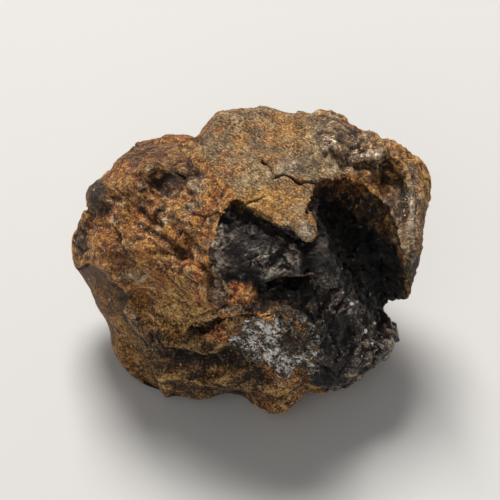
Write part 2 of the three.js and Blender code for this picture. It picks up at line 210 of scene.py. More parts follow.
def cut_finer(chosen):
    """Cuts each face that has all its corners chosen into four."""
    mesh = stone.data
    corners = np.empty(len(mesh.loops), int)
    mesh.loops.foreach_get("vertex_index", corners)
    starts = np.empty(len(mesh.polygons), int)
    mesh.polygons.foreach_get("loop_start", starts)
    faces = np.logical_and.reduceat(chosen[corners], starts)
    mesh.vertices.foreach_set("select", np.zeros(len(mesh.vertices), bool))
    mesh.edges.foreach_set("select", np.zeros(len(mesh.edges), bool))
    mesh.polygons.foreach_set("select", faces)
    bpy.ops.object.mode_set(mode="EDIT")
    bpy.ops.mesh.select_mode(type="FACE")
    bpy.ops.mesh.subdivide(number_cuts=1, smoothness=0)
    bpy.ops.object.mode_set(mode="OBJECT")


# What the eye sees is cut twice as fine, and the lines above twice as fine again.
cut_finer(seen_by_eye(Surface()))
at = Surface()
fine_lines = [LIP, SLAB_CRACK, LIP_CRACK, CORNER_CRACK, CLEFT, BLOCK_FOOT, FACE_EDGE, FACE_CRACK]
near_line = np.min([distance_to(line, at) for line in fine_lines], axis=0)
cut_finer((near_line < 0.2) & (at.facing > -0.1) & (at.out > -1))
finish_with("SMOOTH", factor=0.5, iterations=1)

# The stone's regions
# Each kind of surface on the stone, from 0 to 1 at every vertex. What the eye sees from the front is laid out
# in millimetres across and up, and the rest follows slow noise round the back.
BROKEN_FACE = LIP + [
    (9.4, 3.9), (10.6, 2.4), (11.2, 0.4), (11.4, -1.8), (11.7, -3.9), (12.6, -4.6), (11.4, -7.5),
    (9.4, -10.2), (6.2, -10.9), (5.3, -9.4), (5.3, -7.6), (4.4, -6.4), (2.4, -5.3), (0.3, -4.9),
    (-1.6, -5.2), (-2.9, -4.8), (-3.3, -3.2), (-3.1, -1.4), (-3.0, 0.2), (-2.5, 1.5),
]
SLAB = [
    (-3.9, 8.2), (-2.6, 10.6), (1.0, 11.2), (5.0, 10.9), (5.2, 8.6), (6.9, 5.9), (6.9, 5.3), (5.0, 5.0),
    (4.2, 2.9), (5.1, 1.4), (4.2, 0.7), (2.8, 1.8), (1.2, 2.3), (-0.4, 3.1), (-1.2, 3.8), (-1.8, 4.6),
    (-2.8, 5.6), (-3.8, 7.0),
]
BLOCK = [
    (9.0, 9.2), (10.4, 8.8), (13.9, 7.0), (14.2, 3.0), (12.2, -4.0), (11.4, -3.8), (11.3, 0.4), (9.4, 4.2),
    (7.4, 5.4),
]
SHOULDER = [(5.2, 8.6), (5.4, 11.0), (9.5, 9.4), (13.0, 7.5), (11.6, 5.6), (9.0, 5.6), (6.9, 5.9)]
SILVER = [
    (-1.6, -6.8), (-0.4, -5.3), (2.0, -5.0), (4.6, -6.3), (5.5, -7.6), (4.6, -9.0), (2.4, -9.6), (0.2, -8.8),
    (-1.4, -7.8),
]
LOWER_WALL = [
    (-8.6, -5.4), (-7.2, -6.0), (-5.0, -6.4), (-3.4, -6.1), (-1.6, -5.9), (-0.4, -8.0), (1.0, -9.6),
    (0.2, -11.6), (-4.0, -12.0), (-6.4, -10.9), (-7.0, -8.8), (-7.8, -7.2),
]
LEFT_SIDE = FACE_EDGE + [(-6.5, -11.4), (-9.0, -11.4), (-12.6, -6.5), (-14.0, -2.0), (-12.6, -1.2)]


def smooth_step(low, high, values):
    t = np.clip((values - low) / (high - low), 0, 1)
    return t * t * (3 - 2 * t)


def depth_inside(outline, at):
    """How far each vertex is seen inside a closed outline (across, up); outside it is below 0."""
    inside = np.zeros(len(at.across), bool)
    for (ax, ay), (bx, by) in zip(outline, outline[1:] + outline[:1]):
        spans = (ay > at.up) != (by > at.up)
        crossing = ax + (at.up - ay) * (bx - ax) / ((by - ay) or 1e-9)
        inside ^= spans & (at.across < crossing)
    return np.where(inside, 1, -1) * distance_to(outline + outline[:1], at)


def bell(distance, radius):
    return np.exp(-((distance / radius) ** 2))


def drawn_out(at, stretch):
    """The vertices in millimetres, drawn together along a direction across and up, so that noise laid over
    them comes out so many times longer that way."""
    points = at.places * 1000
    if stretch:
        (run_across, run_up), times = stretch
        direction = np.array((RIGHT * run_across + UP * run_up).normalized())
        points = points - direction * (points @ direction * (1 - 1 / times))[:, None]
    return points


def noise_at(at, size, seed, octaves=1, stretch=None):
    """Noise of about -1 to 1 at each vertex, with lumps of a size in millimetres. stretch is a direction
    across and up, and how many times longer the lumps are along it."""
    points = drawn_out(at, stretch) / size + np.array((seed, -seed, 2 * seed))
    basis = "PERLIN_ORIGINAL"
    return np.array([noise.fractal(p, 0.9, 2.1, octaves, noise_basis=basis) for p in points.tolist()])


def chips_at(at, size, seed, stretch=None):
    """Broken facets of about a size: each cell of the noise is a plane with a tilt of its own."""
    points = drawn_out(at, stretch)
    heights = np.empty(len(points))
    for i, p in enumerate((points / size + seed).tolist()):
        middle = noise.voronoi(p)[1][0]
        tilt = noise.cell_vector(middle * 57.3) - Vector((0.5, 0.5, 0.5))
        heights[i] = (Vector(p) - middle).dot(tilt)
    return heights * size


def facets_at(at, share, size, seed, stretch=None):
    """Flat broken planes that meet in sharp ridges and valleys, where a share of the stone has them."""
    points = drawn_out(at, stretch)
    heights = np.zeros(len(points))
    for i in np.nonzero(share > 0.01)[0]:
        p = Vector(points[i] / size + seed)
        planes = []
        for middle in noise.voronoi(p)[1]:
            tilt = noise.cell_vector(middle * 57.3) - Vector((0.5, 0.5, 0.5))
            planes.append((p - middle).dot(tilt) * 1.6 + tilt.x)
        heights[i] = sorted(planes)[1]
    return share * heights * size


at = Surface()
front = smooth_step(-0.5, -0.05, at.facing) * smooth_step(-9, -6, at.out)
slow = noise_at(at, 5.0, 3.7, 2)
wander = 0.3 * noise_at(at, 1.2, 8.1, 4)


def region(outline, edge=0.25, frayed=1.0):
    """1 well inside an outline on the front and 0 outside it, with a frayed edge."""
    return front * smooth_step(-edge, edge, depth_inside(outline, at) + wander * frayed)


broken = region(BROKEN_FACE, 0.12, 0.25)
slab = region(SLAB, 0.9) * (1 - broken)
block = region(BLOCK, 0.5) * (1 - broken)
shoulder = region(SHOULDER, 0.5) * (1 - broken)
silver = region(SILVER, 0.9, 1.4)
wall = region(LOWER_WALL, 0.4)
side = region(LEFT_SIDE, 0.12, 0.4)
back_combed = (1 - front) * smooth_step(0.15, 0.55, slow)
crust = np.clip(1 - slab - broken - 0.7 * block - wall - side - back_combed - 0.7 * shoulder, 0, 1)

# The pit in the left face is smoother than the crust around it.
crust *= 1 - 0.8 * front * bell(np.hypot(at.across + 6.3, at.up - 5.1), 1.3)

# The stone's relief
# Rust grows in lumps and grains, so the crust is knobbly, the slab is combed by fine lines, and the
# broken face is split into flat facets. Each rise is in millimetres.
COMBED = ((1, -0.9), 5)
SPLIT = ((1, 0.6), 1.4)
SLOPING = ((1, -0.5), 1.8)
rise = 0.14 * noise_at(at, 2.2, 5.5, 2) * (1 - 0.6 * slab - 0.7 * side)
rise += 0.22 * facets_at(at, crust, 2.4, 4.0, SLOPING) + 0.16 * facets_at(at, crust, 1.0, 9.0, SLOPING)
knobs = 0.12 * np.abs(noise_at(at, 1.0, 2.2, 2, stretch=SLOPING)) + 0.05 * noise_at(at, 0.42, 6.4, 3)
rise += crust * knobs
rise += slab * (0.25 * chips_at(at, 1.6, 7.0, COMBED) + 0.06 * noise_at(at, 0.30, 1.3, 3, stretch=COMBED))
rise += slab * 0.05 * noise_at(at, 0.7, 4.4, 2)
rise += back_combed * (0.2 * chips_at(at, 1.8, 3.0) + 0.06 * noise_at(at, 0.4, 1.9, 3))
rise += block * (0.25 * chips_at(at, 1.0, 3.0) + 0.13 * noise_at(at, 0.5, 9.2, 3, stretch=((0.25, -1), 3)))
rise += shoulder * (0.26 * noise_at(at, 0.8, 3.2, 2) + 0.05 * noise_at(at, 0.35, 7.1, 2))
rise += wall * (0.33 * noise_at(at, 1.3, 7.7, 2, stretch=((1, 0.15), 2.5)) + 0.6 * chips_at(at, 1.3, 6.0))
rise += wall * 0.07 * noise_at(at, 0.4, 5.1, 3)
rise -= 0.6 * wall * smooth_step(-9.2, -10.4, at.up) * rise
rise += side * (0.05 * noise_at(at, 0.6, 3.1, 3, stretch=((0.45, -1), 4)))

# The lower right lobe has larger facets than the rest of the broken face.
lobe = broken * bell(np.hypot(at.across - 9.4, at.up + 7.0), 2.6)
small_facets = broken - 0.6 * lobe
rise += 0.32 * facets_at(at, broken, 2.0, 2.0, SPLIT) + 0.30 * facets_at(at, small_facets, 0.8, 5.0, SPLIT)
rise += small_facets * 0.05 * noise_at(at, 0.3, 6.6, 3)
rise += 0.5 * facets_at(at, lobe, 2.2, 9.0)
rise += 0.35 * facets_at(at, silver, 1.4, 6.0) + 0.4 * facets_at(at, silver, 0.5, 4.0)
rise += silver * 0.08 * noise_at(at, 0.3, 7.3, 2)


def tent(distance, radius):
    return np.clip(1 - distance / radius, 0, None)


# Folds: ridges, and grooves with a rise below 0. Each has its line, half its width and its rise.
FOLDS = [
    ("ridge beside the hollow",
     [(5.1, 0.5), (5.4, -0.9), (5.9, -2.4), (6.9, -3.5), (8.0, -4.4), (8.7, -5.1)],
     0.9, 0.45),
    ("channel beside the bench", [(4.0, 0.7), (4.3, -0.4), (4.4, -1.5), (4.7, -2.4), (4.4, -3.2)],
     0.5, -0.65),
    ("gap", [(0.75, -2.8), (1.9, -2.5), (3.0, -2.45), (4.2, -2.75)], 0.4, -0.45),
    ("left end of the bench", [(-2.7, -2.2), (-1.3, -2.2), (0.0, -2.3)], 0.7, -0.35),
    ("under the left end of the bench", [(-2.5, -3.3), (-1.4, -3.2), (-0.3, -3.3)], 0.8, 0.45),
    ("edge of the bench", [(0.9, -2.5), (1.9, -1.9), (3.0, -1.7), (4.0, -1.8)], 0.5, 0.2),
    ("dark fold in the bench", [(1.5, -1.3), (2.3, 0.0), (3.3, 1.3)], 0.35, -0.3),
    ("left fold in the bench", [(-1.6, 1.4), (-1.0, 1.8), (-0.4, 2.2)], 0.35, -0.15),
    ("left border of the broken face", [(-2.2, 1.3), (-2.6, 0.2), (-2.7, -1.2), (-2.6, -2.4)], 0.6, 0.4),
    ("beside the tongue", [(2.7, 2.8), (3.1, 2.2), (3.3, 1.7)], 0.2, -0.15),
    ("bench's left brow", [(-2.4, 0.0), (-1.5, 0.5), (-0.2, 0.4), (0.8, -0.4)], 0.5, 0.2),
    ("crack in the lobe", [(8.3, -4.7), (8.8, -5.3), (9.2, -6.1), (9.9, -6.6)], 0.4, -0.65),
    ("hole in the lobe", [(7.1, -6.9), (7.5, -6.2)], 0.4, -0.7),
    ("lobe's lower brow", [(8.0, -8.4), (9.6, -8.2), (10.7, -7.0)], 0.35, 0.25),
    ("lobe's left fold", [(6.9, -7.3), (7.3, -8.6), (6.9, -9.6)], 0.4, -0.35),
    ("first rib of the lobe", [(8.3, -6.3), (8.2, -7.4), (7.9, -8.6)], 0.25, 0.14),
    ("groove beside the first rib", [(8.9, -6.6), (8.8, -7.6), (8.4, -8.6)], 0.25, -0.2),
    ("second rib of the lobe", [(9.4, -6.0), (9.3, -7.2), (9.0, -8.5)], 0.25, 0.14),
    ("groove beside the second rib", [(9.9, -6.8), (9.7, -7.6), (9.5, -8.3)], 0.25, -0.18),
    ("third rib of the lobe", [(10.4, -6.2), (10.3, -7.2), (9.9, -8.0)], 0.25, 0.14),
    ("facet edge beside the silver", [(6.0, -4.2), (6.9, -6.0), (7.0, -7.8)], 0.4, 0.3),
    ("orange rim of the silver", [(3.6, -4.6), (4.7, -5.6), (5.2, -6.6), (5.0, -8.0)], 0.35, 0.2),
    ("fold in the silver", [(2.4, -5.4), (3.4, -6.4), (4.4, -7.4)], 0.5, -0.3),
    ("silver streak", [(1.4, -5.4), (1.7, -6.6), (1.9, -7.6), (1.4, -9.0)], 0.5, 0.25),
    ("under the silver", [(-1.6, -7.6), (-0.9, -8.5), (0.2, -9.2), (1.4, -9.8)], 0.6, -0.8),
    ("pit's ring",
     [(-7.2, 4.3), (-6.6, 4.1), (-5.9, 4.3), (-5.4, 4.9), (-5.4, 5.6), (-6.0, 6.1), (-6.7, 5.9)],
     0.35, -0.35),
    ("notch by the pit", [(-5.0, 6.9), (-4.6, 6.1), (-4.1, 5.4)], 0.35, -0.25),
    ("upper fold", [(-8.1, 2.8), (-7.5, 2.2), (-6.9, 1.9)], 0.3, -0.3),
    ("lower fold", [(-8.1, 1.6), (-6.9, 1.0), (-5.9, 0.4), (-5.3, -0.3), (-4.7, -0.6)], 0.35, -0.35),
    ("third fold", [(-7.5, -0.2), (-6.6, -0.2), (-5.8, 0.0)], 0.3, -0.25),
    ("knob's groove", [(-11.0, 4.5), (-10.4, 3.5), (-10.9, 2.9)], 0.35, -0.35),
    ("left groove", [(-11.9, 2.8), (-12.0, 1.5), (-12.2, 0.3), (-12.1, -0.6)], 0.35, -0.5),
    ("face's left edge",
     [(-11.6, 1.9), (-11.9, 0.4), (-11.6, -0.8), (-10.5, -1.4), (-9.9, -2.3), (-9.4, -3.2)],
     0.4, 0.3),
    ("flecked brow", [(-10.1, -2.2), (-9.0, -2.6), (-8.0, -2.6)], 0.5, 0.25),
    ("ledge below the brow", [(-10.2, -2.7), (-9.5, -3.5), (-8.4, -3.6), (-7.6, -4.1)], 0.45, -0.6),
    ("lower edge of the face",
     [(-9.1, -4.4), (-8.6, -5.3), (-7.9, -6.3), (-7.4, -7.8), (-6.7, -9.3), (-6.2, -10.5)],
     0.35, 0.3),
    ("left side",
     [(-13.3, 0.2), (-12.7, -1.4), (-11.6, -3.0), (-11.0, -4.4), (-10.4, -6.0), (-9.7, -7.6), (-8.8, -9.4)],
     0.9, 0.42),
    ("first ledge of the wall", [(-6.4, -6.5), (-5.0, -7.1), (-3.5, -7.2), (-2.2, -7.0)], 0.6, 0.7),
    ("dark band of the wall", [(-5.6, -7.9), (-3.8, -8.2), (-2.0, -8.3)], 0.7, -1.0),
    ("second ledge of the wall", [(-6.0, -9.0), (-4.4, -9.4), (-2.6, -9.4), (-1.4, -9.2)], 0.6, 0.7),
    ("foot of the wall", [(-3.4, -10.6), (-2.0, -10.9), (-0.4, -11.0)], 0.4, -0.4),
    ("step beside the slab", [(6.0, 7.3), (7.1, 5.9), (7.2, 5.3)], 0.35, -0.3),
    ("slab's right rim", [(5.6, 7.7), (6.3, 6.8), (6.9, 6.0)], 0.3, 0.15),
    ("under the shiny lump", [(7.4, 6.4), (8.9, 6.2), (10.2, 6.7)], 0.35, -0.35),
    ("shiny lump", [(7.2, 7.4), (8.8, 6.9), (10.6, 6.8)], 0.4, 0.15),
    ("small shiny lump", [(5.7, 8.5), (6.6, 7.5)], 0.35, 0.25),
    ("furrow of the outer band", [(11.6, 7.0), (12.3, 5.6), (12.6, 3.6), (12.4, 1.6)], 0.3, -0.25),
    ("crest of the block", [(11.2, 6.6), (11.9, 5.4), (12.1, 3.6), (11.9, 1.8), (11.5, 0.2)], 0.3, 0.2),
    ("inner furrow of the block", [(11.1, 5.0), (11.5, 3.8), (11.4, 2.8)], 0.4, -0.4),
    ("streak into the hollow", [(6.2, 4.4), (7.2, 3.4), (8.0, 2.7)], 0.4, 0.3),
    ("second streak", [(8.2, 4.3), (9.3, 3.2), (10.4, 1.2)], 0.4, 0.3),
]
for _, line, radius, height in FOLDS:
    rise += front * height * tent(distance_to(line, at) + 0.3 * wander, radius * 1.5)

# Dents and lumps: where each is seen, how wide it is and its rise.
DENTS = [
    ("pit", (-6.3, 5.1), 0.85, -0.6),
    ("pit's lump", (-6.2, 4.9), 0.28, 0.45),
    ("pit's second lump", (-6.7, 5.3), 0.22, 0.3),
    ("dark spot on the left face", (-5.2, -0.1), 0.5, -0.4),
    ("grey spot", (-10.0, 2.3), 0.5, -0.12),
    ("knob", (-11.6, 4.3), 0.6, 0.25),
    ("upper dent in the shoulder", (10.3, 6.0), 0.5, -0.4),
    ("lower dent in the shoulder", (10.1, 5.2), 0.35, -0.4),
    ("lump in the dent", (10.4, 5.6), 0.25, 0.25),
    ("end of the cleft", (-4.5, -6.25), 0.4, -0.6),
    ("hole of the slab's crack", (1.1, 6.55), 0.18, -0.45),
    ("hole at the slab's corner", (-4.05, 8.15), 0.28, -0.7),
    ("black corner of the lip", (-1.1, 3.35), 0.3, -0.4),
    ("small dent of the slab", (5.6, 7.0), 0.25, -0.2),
    ("notch of the far edge", (4.5, 10.1), 0.4, -0.4),
    ("bright crystal", (7.65, -4.05), 0.18, 0.2),
    ("second bright crystal", (8.7, -6.1), 0.2, 0.25),
    ("third bright crystal", (9.4, -5.5), 0.18, 0.2),
    ("right end of the lobe", (10.3, -7.0), 0.8, 0.45),
]
for _, (across, up), radius, height in DENTS:
    rise += front * height * bell(np.hypot(at.across - across, at.up - up), radius)

# Cracks: each has its line, half its width and its rise.
SLAB_FAINT_CRACK = [(-1.6, 5.35), (-0.7, 5.75), (-0.1, 6.3), (0.6, 6.45), (0.9, 6.7)]
CLEFT_TWIN = [(-4.3, -5.2), (-3.3, -4.75), (-2.7, -4.8), (-2.2, -5.1)]
SECOND_FACE_CRACK = [(3.9, -3.7), (4.9, -5.0), (5.3, -6.2), (5.7, -7.7)]
CRACKS = [
    (SLAB_CRACK, 0.13, -0.45),
    (SLAB_FAINT_CRACK, 0.16, -0.15),
    (LIP_CRACK, 0.10, -0.25),
    (CORNER_CRACK, 0.16, -0.2),
    (CLEFT_TWIN, 0.18, -0.2),
    (CLEFT, 0.24, -0.6),
    (FACE_CRACK, 0.18, -0.2),
    (SECOND_FACE_CRACK, 0.18, -0.2),
]
for line, radius, height in CRACKS:
    rise += front * height * tent(distance_to(line, at) + 0.12 * np.abs(wander), radius)

# The lip stands out over the broken face, with a crisp edge.
LIP_DROP = 0.4
LIP_REACH = 1.1
from_lip = np.where(depth_inside(BROKEN_FACE, at) > 0, 1, -1) * distance_to(LIP, at)
drop = -LIP_DROP * front * smooth_step(-0.04, 0.16, from_lip) * (1 - smooth_step(0.5, LIP_REACH, from_lip))
drop *= 0.3 + 0.7 * smooth_step(-1.8, 0.3, at.across)

# In the same way the left face stands out over the smooth side under it.
FACE_DROP = 0.8
FACE_REACH = 2.4
from_face = np.where(depth_inside(LEFT_SIDE, at) > 0, 1, -1) * distance_to(FACE_EDGE, at) + 0.15 * wander
under_face = front * smooth_step(-0.04, 0.16, from_face)
drop -= FACE_DROP * under_face * (1 - smooth_step(0.8, FACE_REACH, from_face))

# The tongue of the lip is drawn out to the lower left.
tongue = front * bell(distance_to([(2.3, 2.1), (3.3, 1.5), (4.3, 1.2)], at), 0.7)
pull = np.array(-0.45 * UP - 0.15 * RIGHT)

resting = smooth_step(0.0, 0.0006, at.places[:, 2])
shift = at.normals * rise[:, None] + np.array(TO_EYE) * drop[:, None] + tongue[:, None] * pull
shift *= resting[:, None]
places = at.places + shift / 1000

# Whatever would stand out of the solid's own box is pressed back into it, over its last 0.25 mm.
PRESSED = 0.00025
box_low, box_high = np.array(cad_box[0]), np.array(cad_box[1])
inwards = box_low + PRESSED
pressed = box_low + PRESSED * np.exp(np.minimum(places - inwards, 0) / PRESSED)
places = np.where(places < inwards, pressed, places)
inwards = box_high - PRESSED
pressed = box_high - PRESSED * np.exp(np.minimum(inwards - places, 0) / PRESSED)
places = np.where(places > inwards, pressed, places)
lowest, highest = places.min(axis=0), places.max(axis=0)
places = box_low + (places - lowest) * (box_high - box_low) / (highest - lowest)
stone.data.vertices.foreach_set("co", places.ravel())
stone.data.update()

# The stone's tints
# How open each vertex is to the sky, for the shade painted into crevices, and where the ochre, the bright
# rust, the bare metal and the painted light and shade show.
SHADE_RAYS = 16
SHADE_REACH = 0.006

at = Surface()
rng = np.random.default_rng(7)
rays = rng.normal(size=(SHADE_RAYS, 3))
rays /= np.linalg.norm(rays, axis=1)[:, None]
tree = BVHTree.FromObject(stone, bpy.context.evaluated_depsgraph_get())
open_sky = np.empty(len(at.places))
for i, (place, normal) in enumerate(zip(at.places, at.normals)):
    start = Vector(place + normal * 0.00006)
    blocked = 0.0
    for ray in (rays + normal * 1.02).tolist():
        distance = tree.ray_cast(start, ray, SHADE_REACH)[3]
        if distance is not None:
            blocked += 1 - distance / SHADE_REACH
    open_sky[i] = 1 - blocked / SHADE_RAYS

# How far each vertex stands out of the surface around it: edges that stand out get painted light, and hollows
# painted shade.
ends = np.empty(len(stone.data.edges) * 2, int)
stone.data.edges.foreach_get("vertices", ends)
one_end, other_end = ends.reshape(-1, 2).T
neighbours = np.bincount(ends, minlength=len(at.places))


def evened(places, turns):
    """The places after each is drawn halfway to the middle of its neighbours, a number of times."""
    places = places.copy()
    for _ in range(turns):
        for axis in range(3):
            from_one = np.bincount(other_end, places[one_end, axis], len(places))
            from_other = np.bincount(one_end, places[other_end, axis], len(places))
            places[:, axis] = 0.5 * places[:, axis] + 0.5 * (from_one + from_other) / neighbours
    return places


closely_evened = evened(at.places, 8)
widely_evened = evened(closely_evened, 52)
proud = smooth_step(-0.06, 0.06, ((at.places - closely_evened) * at.normals).sum(axis=1) * 1000)
raised = smooth_step(-0.25, 0.25, ((at.places - widely_evened) * at.normals).sum(axis=1) * 1000)


def patches(*spots):
    """Soft spots on the front: (across, up, half width, half height, strength)."""
    value = np.zeros(len(at.across))
    for across, up, wide, high, strength in spots:
        away = np.hypot((at.across - across) / wide, (at.up - up) / high)
        value = np.maximum(value, strength * np.exp(-(away ** 2)))
    return value * front


slow = noise_at(at, 4.0, 11.3, 3)
behind = 1 - front
ochre = patches(
    (1.4, 3.6, 3.0, 1.3, 0.9), (-5.1, -4.4, 2.0, 1.5, 1.4), (13.4, 5.0, 0.7, 2.2, 0.9),
    (9.6, 8.4, 1.4, 0.4, 0.6), (3.6, 8.9, 1.6, 0.6, 0.6), (-3.8, 7.2, 0.8, 0.8, 0.6),
    (-2.3, -9.0, 1.3, 0.9, 0.8), (2.4, -10.8, 2.2, 0.8, 0.7), (5.1, -6.8, 0.2, 1.2, 0.5),
    (-5.4, -7.7, 1.0, 0.5, 0.7), (-6.8, -10.3, 1.4, 0.5, 0.7), (-3.0, -10.1, 0.8, 0.5, 0.6),
    (12.2, 6.8, 1.2, 0.5, 0.8), (-7.4, -1.0, 1.5, 0.6, 0.3),
)
rust = patches(
    (-0.9, -2.9, 0.8, 0.6, 1.0), (-1.2, -3.7, 0.5, 0.6, 0.9), (-0.3, -3.8, 0.6, 0.5, 0.7),
    (-3.9, -1.6, 0.6, 1.1, 0.8), (-3.8, -3.6, 0.5, 0.9, 0.9), (-9.6, 6.0, 1.5, 1.0, 0.5),
    (-8.2, 2.6, 0.7, 0.6, 0.8), (-3.4, 0.6, 0.7, 2.4, 0.5), (-2.4, 8.9, 0.7, 0.4, 0.7),
    (-2.0, 7.0, 0.8, 0.9, 0.5), (-6.1, 4.8, 0.8, 0.6, 0.9), (-2.4, -6.3, 1.1, 0.6, 1.3),
    (-4.3, -0.9, 0.7, 0.8, 0.5), (-5.3, -7.2, 0.6, 0.4, 0.4), (9.9, 6.8, 0.3, 0.3, 0.6),
    (10.4, -6.1, 0.4, 0.4, 0.4),
)
# Dark rust, and painted shade on the block's inner wall, in the wall's dark band, under the silver and below
# the bench.
dark = patches(
    (-6.2, 5.2, 1.4, 1.2, 1.1), (-11.5, 4.1, 0.9, 1.5, 1.2), (-5.2, -0.2, 0.9, 0.6, 0.7),
    (-4.2, -8.3, 1.8, 0.5, 0.8), (-4.6, -6.9, 1.0, 0.5, 0.5), (-1.0, -8.6, 1.0, 0.9, 0.8),
    (10.2, 5.6, 0.7, 0.6, 0.3), (-4.2, 6.2, 0.6, 0.8, 0.4), (-10.0, 2.3, 0.5, 0.5, 0.6),
    (-12.7, 0.8, 0.6, 2.0, 1.1), (12.2, -1.8, 0.8, 2.0, 0.7), (-9.0, -3.6, 1.2, 0.3, 0.8),
    (-7.0, -6.9, 1.0, 0.9, 0.7), (0.6, -9.4, 0.8, 0.6, 0.7), (-7.4, 1.4, 0.9, 0.4, 0.5),
    (11.4, 4.4, 0.4, 1.0, 0.6), (5.6, 9.0, 0.4, 0.8, 0.4), (7.0, 8.4, 1.8, 0.8, 0.8),
    (9.6, 6.1, 1.6, 0.5, 0.6), (8.8, -4.6, 0.7, 0.6, 0.6), (2.9, -4.3, 2.2, 0.9, 0.75),
    (1.5, -4.0, 1.2, 0.8, 0.9), (8.8, 2.9, 2.6, 1.5, 1.0), (7.0, 3.6, 1.2, 0.9, 0.8),
    (-4.9, 5.9, 0.9, 1.2, 0.8),
)
grey = patches(
    (3.4, 6.2, 2.4, 1.2, 0.8), (0.4, 8.0, 0.8, 1.6, 0.6), (-4.4, 3.4, 1.6, 1.4, 0.6),
    (-6.4, -1.4, 1.0, 1.0, 0.45), (-2.6, 7.4, 0.6, 1.2, 0.5), (-7.8, 6.2, 0.5, 0.5, 0.7),
    (-8.1, 4.7, 0.4, 0.7, 0.7), (-10.0, 2.3, 0.5, 0.5, 0.8), (-8.7, -5.4, 0.5, 1.2, 0.6),
    (4.4, 1.5, 0.7, 0.7, 0.8), (8.0, 6.9, 2.6, 1.3, 1.2), (6.2, 8.6, 1.6, 1.4, 1.2),
    (8.8, 8.4, 2.4, 0.8, 0.8), (12.2, 5.6, 1.0, 2.0, 0.7), (11.6, 3.0, 1.6, 3.4, 1.0),
    (12.3, 3.6, 0.3, 2.6, 0.8), (-1.9, -4.4, 0.9, 0.5, 0.8), (5.8, 9.7, 1.6, 0.8, 1.1),
    (12.2, -0.8, 0.7, 2.4, 0.9), (9.0, 3.4, 2.4, 1.4, 0.8), (-4.0, 5.0, 1.0, 1.6, 0.8),
    (-2.3, -3.0, 0.8, 1.3, 1.2), (-2.8, -0.4, 0.5, 2.0, 0.9), (-0.2, -4.4, 1.2, 0.4, 0.9),
    (-5.2, 2.2, 1.2, 0.7, 0.5),
)
# Cream flecks, and painted highlights on lit rims: the left face's lower edge, the bench's edge and the
# lobe's flakes.
pale = patches(
    (-8.9, -2.0, 1.3, 0.5, 0.9), (-6.5, 2.2, 0.45, 0.22, 1.1), (-7.0, 1.7, 0.25, 0.2, 0.9),
    (2.2, -2.2, 1.1, 0.25, 0.7), (-7.5, 6.2, 0.3, 0.3, 0.9), (-5.0, -1.6, 0.7, 0.3, 0.4),
    (6.5, 6.4, 0.35, 0.8, 0.5), (9.0, -8.6, 0.3, 0.15, 1.0), (7.6, -9.4, 0.5, 0.15, 1.2),
    (7.4, -9.5, 0.4, 0.2, 0.8), (-2.6, -5.0, 0.3, 0.15, 0.8), (1.7, 9.4, 0.3, 0.3, 0.7),
    (-2.6, 9.6, 0.15, 0.1, 0.8),
)
white = patches(
    (1.7, -6.4, 0.5, 1.3, 1.0), (0.6, -5.4, 0.6, 0.4, 0.9), (2.5, -8.4, 0.5, 0.4, 0.9),
    (4.2, -8.3, 0.9, 0.4, 0.6), (0.0, -6.9, 0.9, 0.9, 0.5), (1.4, -9.9, 0.5, 0.6, 0.9),
    (1.4, -7.9, 0.5, 0.8, 0.6), (2.9, -5.2, 0.4, 0.3, 0.5),
) - patches((3.6, -6.6, 1.0, 0.9, 0.9), (-0.6, -8.0, 0.8, 0.5, 0.6))
# Worn grey-tan, and a painted sheen on the shoulder's shiny lumps and painted light on the block's outer
# band.
wear_and_sheen = patches(
    (6.2, 8.1, 1.2, 1.0, 0.6), (9.0, 7.0, 2.6, 1.0, 0.6), (12.2, 2.6, 0.35, 3.0, 0.8),
    (3.2, 6.0, 1.4, 0.7, 0.5), (4.4, 1.5, 0.8, 0.8, 0.7), (13.2, 3.0, 0.4, 3.0, 0.6),
)
# Bare iron, and painted light on the lit facets of the bench and the lobe.
bare_and_lit = patches(
    (2.9, -0.6, 1.0, 1.2, 1.5), (1.6, -1.8, 1.8, 0.6, 1.7), (0.4, -1.2, 2.4, 1.0, 0.8),
    (9.5, -7.2, 1.4, 1.2, 1.0), (-2.2, -0.9, 0.7, 2.2, 1.8), (7.4, -9.6, 0.8, 0.4, 1.0),
    (-0.4, 1.0, 1.4, 0.5, 0.5), (-2.0, -4.4, 0.9, 0.5, 1.0),
)

# Painted light, where the rust is made a little lighter than its kind, and below 0 painted shade, where it is
# made darker.
painted_light_and_shade = patches(
    (-5.1, -4.4, 2.2, 1.6, 1.0), (-7.8, -3.6, 2.4, 1.4, 0.9), (-2.6, -6.3, 1.4, 0.6, 1.3),
    (4.2, 1.6, 0.9, 0.8, 1.3), (-1.0, -3.2, 0.9, 0.9, 0.8), (3.6, 3.0, 2.0, 1.2, 0.4),
    (-8.6, -8.6, 1.6, 2.0, 0.7),
) - patches((-8.6, 7.2, 2.6, 1.4, 1.4), (-2.6, 8.2, 1.6, 2.0, 0.9))
polish = patches(
    (6.0, 8.3, 0.8, 0.7, 1.0), (6.6, 7.5, 0.6, 0.6, 1.0), (9.0, 7.0, 2.4, 0.9, 1.2),
    (11.6, 3.4, 0.8, 2.4, 0.6), (-7.8, 6.1, 0.5, 0.5, 0.7), (9.6, -7.6, 1.6, 1.0, 0.5),
    (1.6, 7.6, 0.3, 0.3, 0.6),
)
# Painted highlights on the lobe's small crystals.
painted_highlight = patches(
    (7.65, -4.05, 0.18, 0.14, 1.3), (8.7, -6.1, 0.12, 0.18, 1.3), (9.4, -5.5, 0.11, 0.11, 1.1),
    (8.4, -8.0, 0.14, 0.1, 1.0), (7.0, -3.2, 0.1, 0.1, 1.0), (9.2, -7.0, 0.1, 0.12, 1.0),
)
ochre = np.maximum(ochre, behind * 0.7 * smooth_step(0.0, 0.6, slow))
